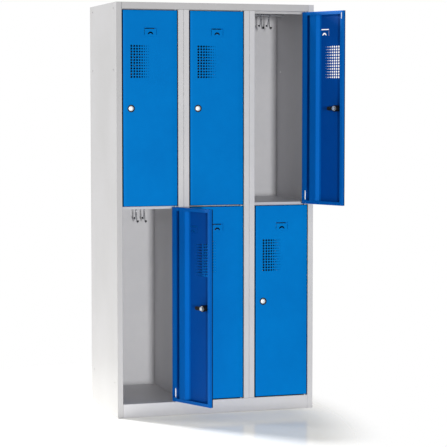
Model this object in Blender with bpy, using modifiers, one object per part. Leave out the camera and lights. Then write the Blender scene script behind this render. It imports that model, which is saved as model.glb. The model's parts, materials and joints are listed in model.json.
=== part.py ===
"""School locker: three columns and two tiers, six compartments with hinged doors.

The body is folded from sheet steel. Each door hangs on a rod along its right edge
and is held by a cam lock on its left. A coat rail with two sliding double hooks
hangs under each compartment's ceiling.

Frame: metres, +Z up. The origin is on the floor, at the middle of the folded edge
under the plinth. The doors face -Y, and the locker's left, seen from the front, is -X.
"""

import math

import bmesh
import bpy
from mathutils import Matrix, Vector

# Overall size
WIDTH = 0.900
DEPTH = 0.500
HEIGHT = 1.800
COLUMNS = ("left", "middle", "right")
TIERS = ("lower", "upper")

# Sheet steel
SHEET = 0.001
GAP = 0.0003
FOLD_RADIUS = 0.0018
FOLD_STEPS = 2

# Front frame
STILE_WIDTH = 0.025
STILE_RETURN = 0.028
REAR_FLANGE = 0.020
HEADER_HEIGHT = 0.030
PLINTH_HEIGHT = 0.060
PLINTH_RETURN = 0.015
STOP_CLEARANCE = 0.004
STOP_DROP = 0.011
POST_WEB = 0.040

# Shelf between the tiers
SPLIT_RISE = 0.003
SHELF_RISE = 0.010
SHELF_FRONT = 0.020
SHELF_SIDE = 0.012
SHELF_REAR_GAP = 0.003

# Holes that tie one locker to the next, measured from the edges of the side
TIE_HOLE_RADIUS = 0.004
TIE_HOLE_SIDES = 8
TIE_HOLE_INSET = 0.050
TIE_HOLE_RISE = 0.150
TIE_HOLE_DROPS = (0.289, 0.025)

# Door leaf
DOOR_CLEARANCE = 0.002
DOOR_SPLIT_GAP = 0.003
DOOR_THICKNESS = 0.018
DOOR_LIP = 0.016
HINGE_LIP = 0.030
HINGE_INSET = 0.010
HINGE_SETBACK = 0.005
OPEN_ANGLE = math.radians(116)
OPEN_DOORS = (("right", "upper"), ("left", "lower"))

# Vent holes: the columns by the lock, which shrink and close up towards the hinge
VENT_ROWS = 12
VENT_COLUMNS = 3
VENT_ROW_PITCH = 0.01205
VENT_TOP = 0.156
VENT_INSET = 0.0395
VENT_PITCH = 0.013
VENT_PITCH_STEP = 0.0007
VENT_RADIUS = 0.0043
VENT_RADIUS_STEP = 0.00043
VENT_SIDES = 6

# Label pocket pressed into the door
LABEL_INSET = 0.125
LABEL_TOP = 0.080
LABEL_WIDTH = 0.054
LABEL_SLOT = 0.0028
LABEL_SIDE_SLIT = 0.0014
LABEL_SIDE_HEIGHT = 0.024
LABEL_BRIDGE = 0.003
THUMB_WIDTH = 0.025
THUMB_HEIGHT = 0.012
THUMB_DROP = 0.014

# Hat section that stiffens the door
HAT_CENTRE = 0.065
HAT_CROWN = 0.036
HAT_BASE = 0.060
HAT_BRIM = 0.008

# Hinge rod
ROD_RADIUS = 0.0026
ROD_SLEEVE_WALL = 0.0008
ROD_SLEEVE_START = 0.006
ROD_SLEEVE_END = 0.052
ROD_CLEARANCE = 0.0004
ROD_ENTRY = 0.0006
ROD_NOTCH_START = 0.020
ROD_NOTCH_END = 0.060
LUG_THICKNESS = 0.0015
LUG_RIM = 0.0025
LUG_DEPTH = 0.0115

# Cam lock
LOCK_INSET = 0.038
LOCK_HOLE_RADIUS = 0.0125
ROSETTE_RIM = 0.0025
ROSETTE_PROUD = 0.0015
HOUSING_SHOULDER = 0.0015
NECK_WALL = 0.0015
PLUG_CLEARANCE = 0.0002
PLUG_HEAD_RIM = 0.001
PLUG_HEAD_THICKNESS = 0.0014
KEY_SLOT_WIDTH = 0.0016
KEY_SLOT_HEIGHT = 0.008
KEY_SLOT_DEPTH = 0.004
CAM_BEHIND_STILE = 0.003
CAM_BEHIND_HOUSING = 0.001
CAM_THICKNESS = 0.003
CAM_LENGTH = 0.042
CAM_HALF_WIDTH = 0.0085
CAM_NUT_RADIUS = 0.0075
CAM_NUT_THICKNESS = 0.004

# Coat rail and hooks
RAIL_RADIUS = 0.005
RAIL_FROM_REAR = 0.090
RAIL_DROP = {"upper": 0.026, "lower": 0.038}
HOOK_PLACES = {"a": 0.190, "b": 0.228}
HOOK_WIRE_RADIUS = 0.002
HOOK_BALL_RADIUS = 0.0042
HOOK_RAIL_CLEARANCE = 0.0008
HOOK_NECK = 0.0034
HOOK_PINCH = 0.0052

# Values that follow from the ones above
FRONT = -PLINTH_RETURN / 2
COLUMN_WIDTH = WIDTH / len(COLUMNS)
OPENING_TOP = HEIGHT - HEADER_HEIGHT
DOOR_WIDTH = COLUMN_WIDTH - 2 * STILE_WIDTH - 2 * DOOR_CLEARANCE
SPLIT_HEIGHT = (PLINTH_HEIGHT + OPENING_TOP) / 2 + SPLIT_RISE
SHELF_TOP = SPLIT_HEIGHT + SHELF_RISE
WALL_INSIDE = WIDTH / 2 - SHEET - GAP
REAR_INSIDE = DEPTH - SHEET - FOLD_RADIUS
HINGE_FROM_COLUMN = STILE_WIDTH + DOOR_CLEARANCE + HINGE_INSET
STOP_SETBACK = DOOR_THICKNESS + STOP_CLEARANCE
TIE_HOLE_HEIGHTS = (TIE_HOLE_RISE, *(HEIGHT - drop for drop in TIE_HOLE_DROPS))
ROD_SLEEVE_RADIUS = ROD_RADIUS + ROD_SLEEVE_WALL
ROD_HOLE_RADIUS = ROD_RADIUS + ROD_CLEARANCE
LUG_MARGIN = ROD_HOLE_RADIUS + LUG_RIM
ROSETTE_RADIUS = LOCK_HOLE_RADIUS + ROSETTE_RIM
HOUSING_RADIUS = LOCK_HOLE_RADIUS + HOUSING_SHOULDER
LOCK_BORE_RADIUS = LOCK_HOLE_RADIUS - NECK_WALL
PLUG_HEAD_RADIUS = LOCK_BORE_RADIUS + PLUG_HEAD_RIM
CAM_SETBACK = STILE_RETURN + CAM_BEHIND_STILE
HOUSING_DEPTH = CAM_SETBACK - CAM_BEHIND_HOUSING

# Sides of round pieces, and how far a turned piece's flats stand in from its corners
ROUND_SIDES = 12
TURNED_STEPS = 14
FLAT_SHARE = math.cos(math.pi / TURNED_STEPS)

COLOURS = {
    "body_paint": ((0.68, 0.69, 0.70), 0.45, 0.0),
    "door_paint": ((0.0, 0.162, 0.578), 0.40, 0.0),
    "lock_black": ((0.015, 0.015, 0.016), 0.45, 0.0),
    "lock_chrome": ((0.78, 0.78, 0.80), 0.18, 1.0),
    "rod_steel": ((0.60, 0.61, 0.63), 0.30, 1.0),
    "rail_steel": ((0.45, 0.46, 0.48), 0.35, 1.0),
    "hook_chrome": ((0.70, 0.71, 0.73), 0.22, 1.0),
}


def clear_scene():
    """Remove every object that the start-up file brought."""
    for item in list(bpy.data.objects):
        bpy.data.objects.remove(item, do_unlink=True)


def make_material(name):
    """Principled material from the table of finishes."""
    colour, roughness, metallic = COLOURS[name]
    material = bpy.data.materials.new(name)
    material.use_nodes = True
    shader = material.node_tree.nodes["Principled BSDF"]
    shader.inputs["Base Color"].default_value = (*colour, 1.0)
    shader.inputs["Roughness"].default_value = roughness
    shader.inputs["Metallic"].default_value = metallic
    return material


def object_from(name, shape):
    """Turn a bmesh into an object in the scene."""
    mesh = bpy.data.meshes.new(name)
    shape.to_mesh(mesh)
    shape.free()
    body = bpy.data.objects.new(name, mesh)
    bpy.context.scene.collection.objects.link(body)
    return body


def add_box(shape, low, high):
    """Add a box between two corners."""
    low, high = Vector(low), Vector(high)
    place = Matrix.Translation((low + high) / 2) @ Matrix.Diagonal((*(high - low), 1.0))
    bmesh.ops.create_cube(shape, size=1.0, matrix=place)


def add_bar(shape, start, end, radius, sides=ROUND_SIDES):
    """Add a round bar between two points."""
    start, end = Vector(start), Vector(end)
    along = end - start
    turn = along.to_track_quat("Z", "Y").to_matrix().to_4x4()
    place = Matrix.Translation((start + end) / 2) @ turn
    bmesh.ops.create_cone(shape, cap_ends=True, segments=sides, radius1=radius,
                          radius2=radius, depth=along.length, matrix=place)


def new_vertices(result):
    """The vertices among what an extrude made."""
    return [item for item in result["geom"] if isinstance(item, bmesh.types.BMVert)]


def folded_strip(points, sweep):
    """Open sheet: a folded line swept along a vector, with its folds rounded."""
    sheet = bmesh.new()
    corners = [sheet.verts.new(point) for point in points]
    line = [sheet.edges.new(pair) for pair in zip(corners, corners[1:])]
    swept = bmesh.ops.extrude_edge_only(sheet, edges=line)
    bmesh.ops.translate(sheet, vec=sweep, verts=new_vertices(swept))
    folds = [edge for edge in sheet.edges if len(edge.link_faces) == 2]
    bmesh.ops.bevel(sheet, geom=folds, offset=FOLD_RADIUS, offset_type="OFFSET",
                    segments=FOLD_STEPS, profile=0.5, affect="EDGES")
    return sheet


def turned(profile, axis, closed=False):
    """Turn a line of (radius, distance along the axis) points about the axis."""
    shape = bmesh.new()
    along = Vector(axis)
    out = Vector((1, 0, 0))
    points = [shape.verts.new(out * radius + along * place) for radius, place in profile]
    pairs = list(zip(points, points[1:]))
    if closed:
        pairs.append((points[-1], points[0]))
    edges = [shape.edges.new(pair) for pair in pairs]
    bmesh.ops.spin(shape, geom=points + edges, cent=(0, 0, 0), axis=axis,
                   dvec=(0, 0, 0), angle=math.tau, steps=TURNED_STEPS)
    bmesh.ops.remove_doubles(shape, verts=shape.verts, dist=0.00001)
    bmesh.ops.recalc_face_normals(shape, faces=shape.faces)
    return shape


def change(body, operation, tool):
    """Cut a body with a tool, or join the tool to it."""
    step = body.modifiers.new(operation.lower(), "BOOLEAN")
    step.operation = operation
    step.solver = "EXACT"
    step.object = tool


def finished_mesh(body, tools=()):
    """Keep the shape that a body's modifiers give, and drop the body and its tools."""
    bpy.context.view_layer.update()
    depsgraph = bpy.context.evaluated_depsgraph_get()
    mesh = bpy.data.meshes.new_from_object(body.evaluated_get(depsgraph), depsgraph=depsgraph)
    mesh.name = body.name
    for item in (body, *tools):
        bpy.data.objects.remove(item, do_unlink=True)
    return mesh


def sheet_mesh(name, sheet, cuts=None, welds=None, offset=0.0):
    """Give an open sheet its thickness, weld pieces on and cut its notches and holes."""
    body = object_from(name, sheet)
    wall = body.modifiers.new("thickness", "SOLIDIFY")
    wall.thickness = SHEET
    wall.offset = offset
    wall.use_even_offset = True
    tools = []
    for operation, shape in (("UNION", welds), ("DIFFERENCE", cuts)):
        if shape is not None:
            tool = object_from(name + "_tool", shape)
            change(body, operation, tool)
            tools.append(tool)
    return finished_mesh(body, tools)


def column_left(index):
    """X of the left side of a column."""
    return -WIDTH / 2 + index * COLUMN_WIDTH


def hinge_x(index):
    """X of the hinge axis of a column's doors."""
    return column_left(index + 1) - HINGE_FROM_COLUMN


def door_span(tier):
    """Heights of a door's bottom and top edges."""
    if tier == "upper":
        return SPLIT_HEIGHT + DOOR_SPLIT_GAP / 2, OPENING_TOP - DOOR_CLEARANCE
    return PLINTH_HEIGHT + DOOR_CLEARANCE, SPLIT_HEIGHT - DOOR_SPLIT_GAP / 2


def hinge_lug(boundary):
    """Ear on the stile at the split, which holds the rods of both doors."""
    axis_x = boundary - HINGE_FROM_COLUMN
    lug = bmesh.new()
    add_box(lug,
            (axis_x - LUG_MARGIN, FRONT + 2 * SHEET, SPLIT_HEIGHT - LUG_THICKNESS / 2),
            (boundary - STILE_WIDTH + SHEET / 2, FRONT + LUG_DEPTH,
             SPLIT_HEIGHT + LUG_THICKNESS / 2))
    return lug


def rod_hole(shape, axis_x, height):
    """Cutter for a rod's hole in the frame."""
    axis_y = FRONT + HINGE_SETBACK
    add_bar(shape, (axis_x, axis_y, height - 2 * SHEET), (axis_x, axis_y, height + 2 * SHEET),
            ROD_HOLE_RADIUS)


def stile_points(wall_x, inward, rear_flange):
    """Folded line of a wall with its stile: return, stile face, wall, rear flange."""
    stile_x = wall_x + inward * (STILE_WIDTH - SHEET)
    front_y = FRONT + SHEET / 2
    rear_y = FRONT + DEPTH - SHEET / 2
    return [(stile_x, FRONT + STILE_RETURN, 0),
            (stile_x, front_y, 0),
            (wall_x, front_y, 0),
            (wall_x, rear_y, 0),
            (wall_x + inward * rear_flange, rear_y, 0)]


def side_panel(side):
    """Side wall with its front stile, its rear flange and the holes for tying."""
    wall_x = side * (WIDTH / 2 - SHEET / 2)
    sheet = folded_strip(stile_points(wall_x, -side, REAR_FLANGE), (0, 0, HEIGHT))
    cuts = bmesh.new()
    clear = STILE_WIDTH + SHEET
    stile_box = sorted((side * WALL_INSIDE, side * (WIDTH / 2 - clear)))
    add_box(cuts,
            (stile_box[0], FRONT - SHEET, HEIGHT - SHEET - GAP),
            (stile_box[1], FRONT + STILE_RETURN + SHEET, HEIGHT + SHEET))
    for height in TIE_HOLE_HEIGHTS:
        for inset in (TIE_HOLE_INSET, DEPTH - TIE_HOLE_INSET):
            add_bar(cuts, (wall_x - 2 * SHEET, FRONT + inset, height),
                    (wall_x + 2 * SHEET, FRONT + inset, height), TIE_HOLE_RADIUS, TIE_HOLE_SIDES)
    welds = None
    if side > 0:
        welds = hinge_lug(WIDTH / 2)
        rod_hole(cuts, hinge_x(len(COLUMNS) - 1), SPLIT_HEIGHT)
    return sheet_mesh("side_panel", sheet, cuts, welds)


def partition(boundary):
    """Wall between two columns, with the left half of the post."""
    wall_x = boundary - GAP / 2 - SHEET / 2
    base = PLINTH_HEIGHT + GAP
    top = HEIGHT - SHEET - GAP
    stile_x = boundary - STILE_WIDTH + SHEET / 2
    front_y = FRONT + SHEET / 2
    points = [(stile_x, FRONT + STILE_RETURN, base),
              (stile_x, front_y, base),
              (wall_x, front_y, base),
              (wall_x, FRONT + REAR_INSIDE - SHEET - GAP, base)]
    sheet = folded_strip(points, (0, 0, top - base))
    cuts = bmesh.new()
    add_box(cuts,
            (boundary - STILE_WIDTH - SHEET, FRONT - SHEET, OPENING_TOP - GAP),
            (boundary + SHEET, FRONT + STILE_RETURN + SHEET, HEIGHT))
    rod_hole(cuts, boundary - HINGE_FROM_COLUMN, SPLIT_HEIGHT)
    return sheet_mesh("partition", sheet, cuts, hinge_lug(boundary))


def post_strip(boundary):
    """Right half of the post: a narrow folded strip welded along the partition."""
    wall_x = boundary + GAP / 2 + SHEET / 2
    stile_x = boundary + STILE_WIDTH - SHEET / 2
    front_y = FRONT + SHEET / 2
    base = PLINTH_HEIGHT + GAP
    points = [(stile_x, FRONT + STILE_RETURN, base),
              (stile_x, front_y, base),
              (wall_x, front_y, base),
              (wall_x, FRONT + POST_WEB, base)]
    return sheet_mesh("post_strip", folded_strip(points, (0, 0, OPENING_TOP - GAP - base)))


def back_panel():
    """Flat rear wall, held inside the flanges of the sides."""
    rear = FRONT + REAR_INSIDE
    shape = bmesh.new()
    add_box(shape,
            (-WALL_INSIDE, rear - SHEET, PLINTH_HEIGHT + GAP),
            (WALL_INSIDE, rear, HEIGHT - SHEET - GAP))
    return finished_mesh(object_from("back_panel", shape))


def top_panel():
    """Roof with the header folded down at the front and a stop lip over each door."""
    roof_z = HEIGHT - SHEET / 2
    header_z = OPENING_TOP + SHEET / 2
    front_y = FRONT + SHEET / 2
    stop_y = FRONT + STOP_SETBACK + SHEET / 2
    points = [(-WALL_INSIDE, FRONT + REAR_INSIDE, roof_z),
              (-WALL_INSIDE, front_y, roof_z),
              (-WALL_INSIDE, front_y, header_z),
              (-WALL_INSIDE, stop_y, header_z),
              (-WALL_INSIDE, stop_y, OPENING_TOP - STOP_DROP)]
    sheet = folded_strip(points, (2 * WALL_INSIDE, 0, 0))
    cuts = bmesh.new()
    below_roof = HEIGHT - SHEET - GAP
    header_end = WIDTH / 2 - STILE_WIDTH - GAP
    for side in (-1, 1):
        ends = sorted((side * header_end, side * WIDTH / 2))
        add_box(cuts,
                (ends[0], FRONT - SHEET, OPENING_TOP - 2 * STOP_DROP),
                (ends[1], FRONT + STILE_RETURN + SHEET, below_roof))
    for index in range(1, len(COLUMNS)):
        boundary = column_left(index)
        add_box(cuts,
                (boundary - STILE_WIDTH - GAP, FRONT + STOP_SETBACK - 2 * SHEET,
                 OPENING_TOP - 2 * STOP_DROP),
                (boundary + STILE_WIDTH + GAP, FRONT + STOP_SETBACK + 2 * SHEET,
                 OPENING_TOP - GAP))
    for index in range(len(COLUMNS)):
        rod_hole(cuts, hinge_x(index), OPENING_TOP + SHEET / 2)
    return sheet_mesh("top_panel", sheet, cuts)


def floor_panel():
    """Floor of the lower tier, folded down at the front as the plinth."""
    floor_z = PLINTH_HEIGHT - SHEET / 2
    front_y = FRONT + SHEET / 2
    points = [(-WALL_INSIDE, FRONT + REAR_INSIDE, floor_z),
              (-WALL_INSIDE, front_y, floor_z),
              (-WALL_INSIDE, front_y, SHEET / 2),
              (-WALL_INSIDE, FRONT + PLINTH_RETURN, SHEET / 2)]
    sheet = folded_strip(points, (2 * WALL_INSIDE, 0, 0))
    cuts = bmesh.new()
    plinth_end = WIDTH / 2 - STILE_WIDTH - GAP
    for side in (-1, 1):
        ends = sorted((side * plinth_end, side * WIDTH / 2))
        add_box(cuts,
                (ends[0], FRONT - SHEET, -SHEET),
                (ends[1], FRONT + STILE_RETURN + SHEET, PLINTH_HEIGHT + SHEET))
    for index in range(len(COLUMNS)):
        rod_hole(cuts, hinge_x(index), PLINTH_HEIGHT - SHEET / 2)
    return sheet_mesh("floor_panel", sheet, cuts)


def shelf(index):
    """Shelf between the tiers: folded down along all four edges, notched for the posts."""
    left = column_left(index) + SHEET + 2 * GAP
    right = column_left(index + 1) - SHEET - 2 * GAP
    front = FRONT + STOP_SETBACK
    rear = FRONT + REAR_INSIDE - SHEET - SHELF_REAR_GAP
    tray = bmesh.new()
    add_box(tray, (left, front, SHELF_TOP - SHELF_FRONT), (right, rear, SHELF_TOP))
    under = [face for face in tray.faces if face.normal.z < -0.5]
    bmesh.ops.delete(tray, geom=under, context="FACES_ONLY")
    bmesh.ops.recalc_face_normals(tray, faces=tray.faces)
    cuts = bmesh.new()
    notch_y = FRONT + STILE_RETURN + GAP
    low, high = SHELF_TOP - 2 * SHELF_FRONT, SHELF_TOP + SHEET
    post = STILE_WIDTH + GAP
    notches = ((left - SHEET, column_left(index) + post),
               (column_left(index + 1) - post, right + SHEET))
    for start, end in notches:
        add_box(cuts, (start, front - SHEET, low), (end, notch_y, high))
    trim = SHELF_TOP - SHELF_SIDE
    add_box(cuts, (left - SHEET, notch_y + SHEET, low), (right + SHEET, rear + SHEET, trim))
    return sheet_mesh("shelf", tray, cuts, offset=-1.0)


def door_tray(height):
    """Open tray of the leaf: the skin, four folded walls and a lip along each.

    The hinge axis runs up through the origin, and the leaf's lower edge is at zero.
    """
    free_edge = HINGE_INSET - DOOR_WIDTH
    tray = bmesh.new()
    add_box(tray,
            (free_edge, -HINGE_SETBACK, 0),
            (HINGE_INSET, DOOR_THICKNESS - HINGE_SETBACK, height))
    back = [face for face in tray.faces if face.normal.y > 0.5]
    bmesh.ops.delete(tray, geom=back, context="FACES_ONLY")
    rim = [edge for edge in tray.edges if edge.is_boundary]
    for corner in new_vertices(bmesh.ops.extrude_edge_only(tray, edges=rim)):
        corner.co.x += DOOR_LIP if corner.co.x < 0 else -HINGE_LIP
        corner.co.z += DOOR_LIP if corner.co.z < height / 2 else -DOOR_LIP
    bmesh.ops.recalc_face_normals(tray, faces=tray.faces)
    return tray


def through_skin(shape, x, z, radius, sides):
    """Cutter for a round hole through the skin."""
    start, end = -HINGE_SETBACK - SHEET, -HINGE_SETBACK + 2 * SHEET
    add_bar(shape, (x, start, z), (x, end, z), radius, sides)


def vent_holes(shape, height):
    """Cutters for the vent holes."""
    inset = VENT_INSET
    for column in range(VENT_COLUMNS):
        radius = VENT_RADIUS - column * VENT_RADIUS_STEP
        for row in range(VENT_ROWS):
            through_skin(shape, HINGE_INSET - DOOR_WIDTH + inset,
                         height - VENT_TOP - row * VENT_ROW_PITCH, radius, VENT_SIDES)
        inset += VENT_PITCH - column * VENT_PITCH_STEP


def label_pocket(shape, height):
    """Cutters for the label's slot, its two side slits and the half-round thumb notch."""
    centre_x = HINGE_INSET - DOOR_WIDTH + LABEL_INSET
    near, far = -HINGE_SETBACK - SHEET, -HINGE_SETBACK + 2 * SHEET
    top = height - LABEL_TOP
    half = LABEL_WIDTH / 2
    add_box(shape,
            (centre_x - half, near, top - LABEL_SLOT / 2),
            (centre_x + half, far, top + LABEL_SLOT / 2))
    slit_top = top - LABEL_SLOT / 2 - LABEL_BRIDGE
    for side in (-1, 1):
        slit = sorted((side * half, side * (half - LABEL_SIDE_SLIT)))
        add_box(shape,
                (centre_x + slit[0], near, slit_top - LABEL_SIDE_HEIGHT),
                (centre_x + slit[1], far, slit_top))
    middle = Vector((centre_x, (near + far) / 2, top - THUMB_DROP - THUMB_HEIGHT))
    turn = Matrix.Rotation(math.radians(90), 4, "X")
    size = Matrix.Diagonal((THUMB_WIDTH / 2, 1, THUMB_HEIGHT, 1))
    notch = bmesh.ops.create_cone(shape, cap_ends=True, segments=ROUND_SIDES, radius1=1.0,
                                  radius2=1.0, depth=far - near,
                                  matrix=Matrix.Translation(middle) @ size @ turn)
    for corner in notch["verts"]:
        corner.co.z = max(corner.co.z, middle.z)
    bmesh.ops.dissolve_degenerate(shape, dist=0.00001, edges=shape.edges)


def door_leaf(height):
    """Door leaf with its lock hole, vents, label pocket, rod holes and the lip's notch."""
    cuts = bmesh.new()
    through_skin(cuts, HINGE_INSET - DOOR_WIDTH + LOCK_INSET, height / 2, LOCK_HOLE_RADIUS,
                 TURNED_STEPS)
    label_pocket(cuts, height)
    vent_holes(cuts, height)
    for level in (0, height):
        add_bar(cuts, (0, 0, level - 2 * SHEET), (0, 0, level + 2 * SHEET), ROD_HOLE_RADIUS)
    lip_face = DOOR_THICKNESS - HINGE_SETBACK
    add_box(cuts,
            (HINGE_INSET - HINGE_LIP - SHEET, lip_face - 2 * SHEET, ROD_NOTCH_START),
            (HINGE_INSET - 2 * SHEET, lip_face + SHEET, ROD_NOTCH_END))
    return sheet_mesh("door_leaf", door_tray(height), cuts, offset=-1.0)


def door_stiffener(height):
    """Hat section along the inside of the skin, on the hinge side of the middle."""
    brim_y = -HINGE_SETBACK + SHEET + GAP + SHEET / 2
    crown_y = -HINGE_SETBACK + DOOR_THICKNESS - SHEET - GAP - SHEET / 2
    centre = HINGE_INSET - HAT_CENTRE
    base = SHEET + GAP
    half_line = [(HAT_BASE / 2 + HAT_BRIM, brim_y),
                 (HAT_BASE / 2, brim_y),
                 (HAT_CROWN / 2, crown_y)]
    points = [(centre - x, y, base) for x, y in half_line]
    points += [(centre + x, y, base) for x, y in reversed(half_line)]
    return sheet_mesh("door_stiffener", folded_strip(points, (0, 0, height - 2 * base)))


def hinge_rod(tier):
    """Rod through the leaf's two ends into the frame, with a sleeve at its lower end.

    The origin is on the hinge axis, at the height of the leaf's lower edge.
    """
    bottom, top = door_span(tier)
    if tier == "upper":
        low = SPLIT_HEIGHT + LUG_THICKNESS / 2 - ROD_ENTRY
        high = OPENING_TOP + ROD_ENTRY
    else:
        low = PLINTH_HEIGHT - ROD_ENTRY
        high = SPLIT_HEIGHT - LUG_THICKNESS / 2 + ROD_ENTRY
    profile = [(0, high - bottom), (ROD_RADIUS, high - bottom),
               (ROD_RADIUS, ROD_SLEEVE_END), (ROD_SLEEVE_RADIUS, ROD_SLEEVE_END),
               (ROD_SLEEVE_RADIUS, ROD_SLEEVE_START), (ROD_RADIUS, ROD_SLEEVE_START),
               (ROD_RADIUS, low - bottom), (0, low - bottom)]
    return finished_mesh(object_from("hinge_rod", turned(profile, (0, 0, 1))))


def lock_body():
    """Lock housing: rosette in front of the skin, neck through it, barrel behind.

    The origin is on the lock's axis in the plane of the leaf's front face.
    """
    neck = LOCK_HOLE_RADIUS * FLAT_SHARE - GAP
    profile = [(LOCK_BORE_RADIUS, -ROSETTE_PROUD), (ROSETTE_RADIUS, -ROSETTE_PROUD),
               (ROSETTE_RADIUS, -GAP), (neck, -GAP), (neck, SHEET + GAP),
               (HOUSING_RADIUS, SHEET + GAP), (HOUSING_RADIUS, HOUSING_DEPTH),
               (LOCK_BORE_RADIUS, HOUSING_DEPTH)]
    return finished_mesh(object_from("lock_body", turned(profile, (0, 1, 0), closed=True)))


def lock_cam():
    """Plug with its key slot, the cam that swings behind the stile, and the cam's nut.

    At rest the cam points towards the hinge, so the lock is open.
    """
    plug = LOCK_BORE_RADIUS * FLAT_SHARE - PLUG_CLEARANCE
    head_back = -ROSETTE_PROUD - GAP
    head_front = head_back - PLUG_HEAD_THICKNESS
    cam_back = CAM_SETBACK + CAM_THICKNESS
    profile = [(0, head_front), (PLUG_HEAD_RADIUS, head_front), (PLUG_HEAD_RADIUS, head_back),
               (plug, head_back), (plug, CAM_SETBACK + CAM_THICKNESS / 2),
               (0, CAM_SETBACK + CAM_THICKNESS / 2)]
    body = object_from("lock_cam", turned(profile, (0, 1, 0)))

    cam = bmesh.new()
    turn = Matrix.Rotation(math.radians(90), 4, "X")
    middle = Matrix.Translation((0, CAM_SETBACK + CAM_THICKNESS / 2, 0))
    plate = bmesh.ops.create_cone(cam, cap_ends=True, segments=ROUND_SIDES,
                                  radius1=CAM_HALF_WIDTH, radius2=CAM_HALF_WIDTH,
                                  depth=CAM_THICKNESS, matrix=middle @ turn)
    for corner in plate["verts"]:
        if corner.co.x > SHEET / 2:
            corner.co.x += CAM_LENGTH - CAM_HALF_WIDTH
    nut = bmesh.new()
    add_bar(nut, (0, cam_back - CAM_THICKNESS / 3, 0), (0, cam_back + CAM_NUT_THICKNESS, 0),
            CAM_NUT_RADIUS, 6)
    slot = bmesh.new()
    add_box(slot,
            (-KEY_SLOT_WIDTH / 2, head_front - SHEET, -KEY_SLOT_HEIGHT / 2),
            (KEY_SLOT_WIDTH / 2, head_front + KEY_SLOT_DEPTH, KEY_SLOT_HEIGHT / 2))
    tools = []
    for operation, tool_shape in (("UNION", cam), ("UNION", nut), ("DIFFERENCE", slot)):
        tools.append(object_from("cam_tool", tool_shape))
        change(body, operation, tools[-1])
    return finished_mesh(body, tools)


def coat_rail():
    """Round rail from wall to wall, centred on the origin."""
    half = COLUMN_WIDTH / 2 - SHEET - 2 * GAP
    shape = bmesh.new()
    add_bar(shape, (-half, 0, 0), (half, 0, 0), RAIL_RADIUS)
    return finished_mesh(object_from("coat_rail", shape))


def hook_line():
    """Middle line of the hook's wire, from the front tip over the rail to the rear tip."""
    ride = RAIL_RADIUS + HOOK_RAIL_CLEARANCE + HOOK_WIRE_RADIUS
    over = [math.radians(angle) for angle in (195, 150, 90, 30, -15)]
    crown = [(ride * math.cos(angle), ride * math.sin(angle)) for angle in over]
    pinch = -(ride + HOOK_PINCH)
    front = [(-0.034, -0.057), (-0.031, -0.0635), (-0.023, -0.0665), (-0.014, -0.058),
             (-0.0085, -0.035), (-HOOK_NECK, pinch)]
    rear = [(HOOK_NECK, pinch), (0.0075, -0.030), (0.0125, -0.047),
            (0.020, -0.0545), (0.0275, -0.052), (0.030, -0.046)]
    return front + crown + rear


def coat_hook():
    """Double hook bent from one wire, with a ball on each tip; the rail is at the origin."""
    line = hook_line()
    wire = bpy.data.curves.new("coat_hook", "CURVE")
    wire.dimensions = "3D"
    wire.bevel_depth = HOOK_WIRE_RADIUS
    wire.bevel_resolution = 0
    wire.use_fill_caps = True
    spline = wire.splines.new("POLY")
    spline.points.add(len(line) - 1)
    for point, (y, z) in zip(spline.points, line):
        point.co = (0, y, z, 1)
    source = bpy.data.objects.new("coat_hook_wire", wire)
    bpy.context.scene.collection.objects.link(source)
    tube = bmesh.new()
    tube_mesh = finished_mesh(source)
    tube.from_mesh(tube_mesh)
    bpy.data.meshes.remove(tube_mesh)
    bmesh.ops.remove_doubles(tube, verts=tube.verts, dist=0.00001)
    bmesh.ops.recalc_face_normals(tube, faces=tube.faces)
    body = object_from("coat_hook", tube)
    balls = bmesh.new()
    for y, z in (line[0], line[-1]):
        bmesh.ops.create_uvsphere(balls, u_segments=6, v_segments=4, radius=HOOK_BALL_RADIUS,
                                  matrix=Matrix.Translation((0, y, z)))
    tool = object_from("hook_balls", balls)
    change(body, "UNION", tool)
    return finished_mesh(body, [tool])


def round_off(mesh):
    """Shade a round piece smooth between its sharp edges."""
    mesh.shade_smooth()
    mesh.set_sharp_from_angle(angle=math.radians(40))


def place(name, mesh, material, home, location=(0, 0, 0), parent=None):
    """Put a sub-part's object in the locker's collection."""
    body = bpy.data.objects.new(name, mesh)
    if not mesh.materials:
        mesh.materials.append(material)
    body.location = location
    body.parent = parent
    home.objects.link(body)
    return body


def pivot(name, home, location, parent=None, turn=0.0):
    """Empty on a joint's axis."""
    empty = bpy.data.objects.new(name, None)
    empty.empty_display_size = 0.05
    empty.location = location
    empty.rotation_euler = (0, 0, turn)
    empty.parent = parent
    home.objects.link(empty)
    return empty


def build_body(materials, home):
    """Fixed sheet-metal body of the locker."""
    paint = materials["body_paint"]
    place("side_panel_left", side_panel(-1), paint, home)
    place("side_panel_right", side_panel(1), paint, home)
    for index, side in ((1, "left"), (2, "right")):
        place("partition_" + side, partition(column_left(index)), paint, home)
        place("post_strip_" + side, post_strip(column_left(index)), paint, home)
    place("back_panel", back_panel(), paint, home)
    place("top_panel", top_panel(), paint, home)
    place("floor_panel", floor_panel(), paint, home)
    for index, column in enumerate(COLUMNS):
        place("shelf_" + column, shelf(index), paint, home)


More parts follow.
